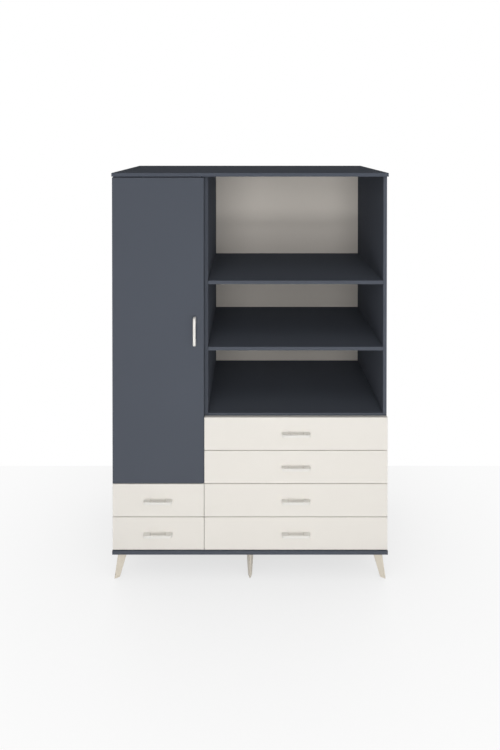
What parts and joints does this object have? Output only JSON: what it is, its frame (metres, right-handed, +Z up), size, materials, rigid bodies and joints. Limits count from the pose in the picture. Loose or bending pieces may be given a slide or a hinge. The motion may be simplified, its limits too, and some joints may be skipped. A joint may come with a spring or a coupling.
{
  "type": "cupboard",
  "caption": "Tall cupboard on splayed legs with a door over drawers on one side and open shelves over wide drawers on the other.",
  "frame": {"origin": "on the floor, under the centre of the overall box with the door and drawers shut", "axes": "+Z up, -Y the front with the door and drawers, +X to the right seen from the front"},
  "size_m": [1.2, 0.5806, 1.7775],
  "materials": {
    "navy_board": "matt blue-grey faced particle board",
    "cream_board": "matt cream faced particle board",
    "pale_back": "matt cream faced hardboard",
    "tray_board": "matt off-white faced board",
    "cream_handle": "satin cream moulding",
    "beige_leg": "satin beige moulding",
    "runner_steel": "off-white powder-coated steel",
    "hinge_steel": "nickel-plated steel"
  },
  "bodies": {
    "carcass": {"base_board": "navy_board", "top_board": "navy_board", "side_left": "navy_board", "partition_left": "navy_board", "partition_right": "navy_board", "side_right": "navy_board", "deck_left": "navy_board", "deck_right": "navy_board", "shelf_middle": "navy_board", "shelf_upper": "navy_board", "back_left": "pale_back", "back_right": "pale_back", "inner_shelf_1": "navy_board", "inner_shelf_2": "navy_board", "inner_shelf_3": "navy_board", "inner_shelf_4": "navy_board", "leg_front_left": "beige_leg", "leg_front_middle": "beige_leg", "leg_front_right": "beige_leg", "leg_rear_left": "beige_leg", "leg_rear_middle": "beige_leg", "leg_rear_right": "beige_leg", "hinge_arm_1": "hinge_steel", "hinge_arm_2": "hinge_steel", "hinge_arm_3": "hinge_steel", "left_drawer_1_runner_left": "runner_steel", "left_drawer_1_runner_right": "runner_steel", "left_drawer_2_runner_left": "runner_steel", "left_drawer_2_runner_right": "runner_steel", "right_drawer_1_runner_left": "runner_steel", "right_drawer_1_runner_right": "runner_steel", "right_drawer_2_runner_left": "runner_steel", "right_drawer_2_runner_right": "runner_steel", "right_drawer_3_runner_left": "runner_steel", "right_drawer_3_runner_right": "runner_steel", "right_drawer_4_runner_left": "runner_steel", "right_drawer_4_runner_right": "runner_steel"},
    "door": {"door_panel": "navy_board", "door_handle": "cream_handle", "hinge_cup_1": "hinge_steel", "hinge_cup_2": "hinge_steel", "hinge_cup_3": "hinge_steel"},
    "left_drawer_1": {"left_drawer_1_front": "cream_board", "left_drawer_1_box": "tray_board", "left_drawer_1_handle": "cream_handle"},
    "left_drawer_2": {"left_drawer_2_front": "cream_board", "left_drawer_2_box": "tray_board", "left_drawer_2_handle": "cream_handle"},
    "right_drawer_1": {"right_drawer_1_front": "cream_board", "right_drawer_1_box": "tray_board", "right_drawer_1_handle": "cream_handle"},
    "right_drawer_2": {"right_drawer_2_front": "cream_board", "right_drawer_2_box": "tray_board", "right_drawer_2_handle": "cream_handle"},
    "right_drawer_3": {"right_drawer_3_front": "cream_board", "right_drawer_3_box": "tray_board", "right_drawer_3_handle": "cream_handle"},
    "right_drawer_4": {"right_drawer_4_front": "cream_board", "right_drawer_4_box": "tray_board", "right_drawer_4_handle": "cream_handle"}
  },
  "joints": [
    {"name": "door_swing", "type": "hinge", "parent": "carcass", "child": "door", "pos_m": [-0.594, -0.26425, 1.09075], "axis": [0, 0, -1], "range_deg": [0, 110]},
    {"name": "left_drawer_1_slide", "type": "slide", "parent": "carcass", "child": "left_drawer_1", "axis": [0, -1, 0], "range_m": [0, 0.34]},
    {"name": "left_drawer_2_slide", "type": "slide", "parent": "carcass", "child": "left_drawer_2", "axis": [0, -1, 0], "range_m": [0, 0.34]},
    {"name": "right_drawer_1_slide", "type": "slide", "parent": "carcass", "child": "right_drawer_1", "axis": [0, -1, 0], "range_m": [0, 0.34]},
    {"name": "right_drawer_2_slide", "type": "slide", "parent": "carcass", "child": "right_drawer_2", "axis": [0, -1, 0], "range_m": [0, 0.34]},
    {"name": "right_drawer_3_slide", "type": "slide", "parent": "carcass", "child": "right_drawer_3", "axis": [0, -1, 0], "range_m": [0, 0.34]},
    {"name": "right_drawer_4_slide", "type": "slide", "parent": "carcass", "child": "right_drawer_4", "axis": [0, -1, 0], "range_m": [0, 0.34]}
  ]
}
